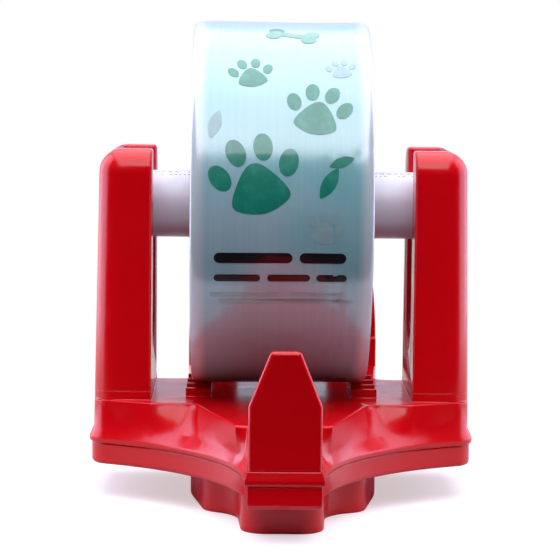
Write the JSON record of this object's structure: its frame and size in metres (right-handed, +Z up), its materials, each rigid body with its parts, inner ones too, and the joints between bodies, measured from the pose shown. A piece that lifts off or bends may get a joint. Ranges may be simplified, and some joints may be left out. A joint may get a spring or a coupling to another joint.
{
  "type": "waste bag dispenser",
  "caption": "Dispenser for a wound roll of waste bags: two slotted posts guide a pipe axle over a lobed base with a front separator tongue and a rear wall plate.",
  "frame": {"origin": "on the underside of the foot, on the ground below the middle of the pipe", "axes": "+X to the right along the pipe, +Y from the front tongue to the wall, +Z up"},
  "size_m": [0.2262, 0.3041, 0.2804],
  "materials": {
    "red_moulding": "glossy moulded ABS",
    "white_pipe": "extruded PVC",
    "core_board": "wound board",
    "bag_film": "wound thin polyethylene film",
    "screw_steel": "zinc plated"
  },
  "bodies": {
    "housing": {"base_shell": "red_moulding", "base_tray": "red_moulding", "pedestal_foot": "red_moulding", "left_post": "red_moulding", "right_post": "red_moulding", "separator_tongue": "red_moulding", "back_plate": "red_moulding", "left_post_screws": "screw_steel", "right_post_screws": "screw_steel", "tray_screws": "screw_steel", "foot_screws": "screw_steel", "tongue_screws": "screw_steel", "plate_screws": "screw_steel"},
    "tube": {"axle_tube": "white_pipe"},
    "roll": {"roll_core": "core_board", "bag_roll": "bag_film"}
  },
  "joints": [
    {"name": "tube_lift", "type": "slide", "parent": "housing", "child": "tube", "axis": [0, 0, 1], "range_m": [0, 0.06]},
    {"name": "roll_spin", "type": "hinge", "parent": "tube", "child": "roll", "pos_m": [-0.0017, 0, 0.17207], "axis": [1, 0, 0], "continuous": true}
  ]
}
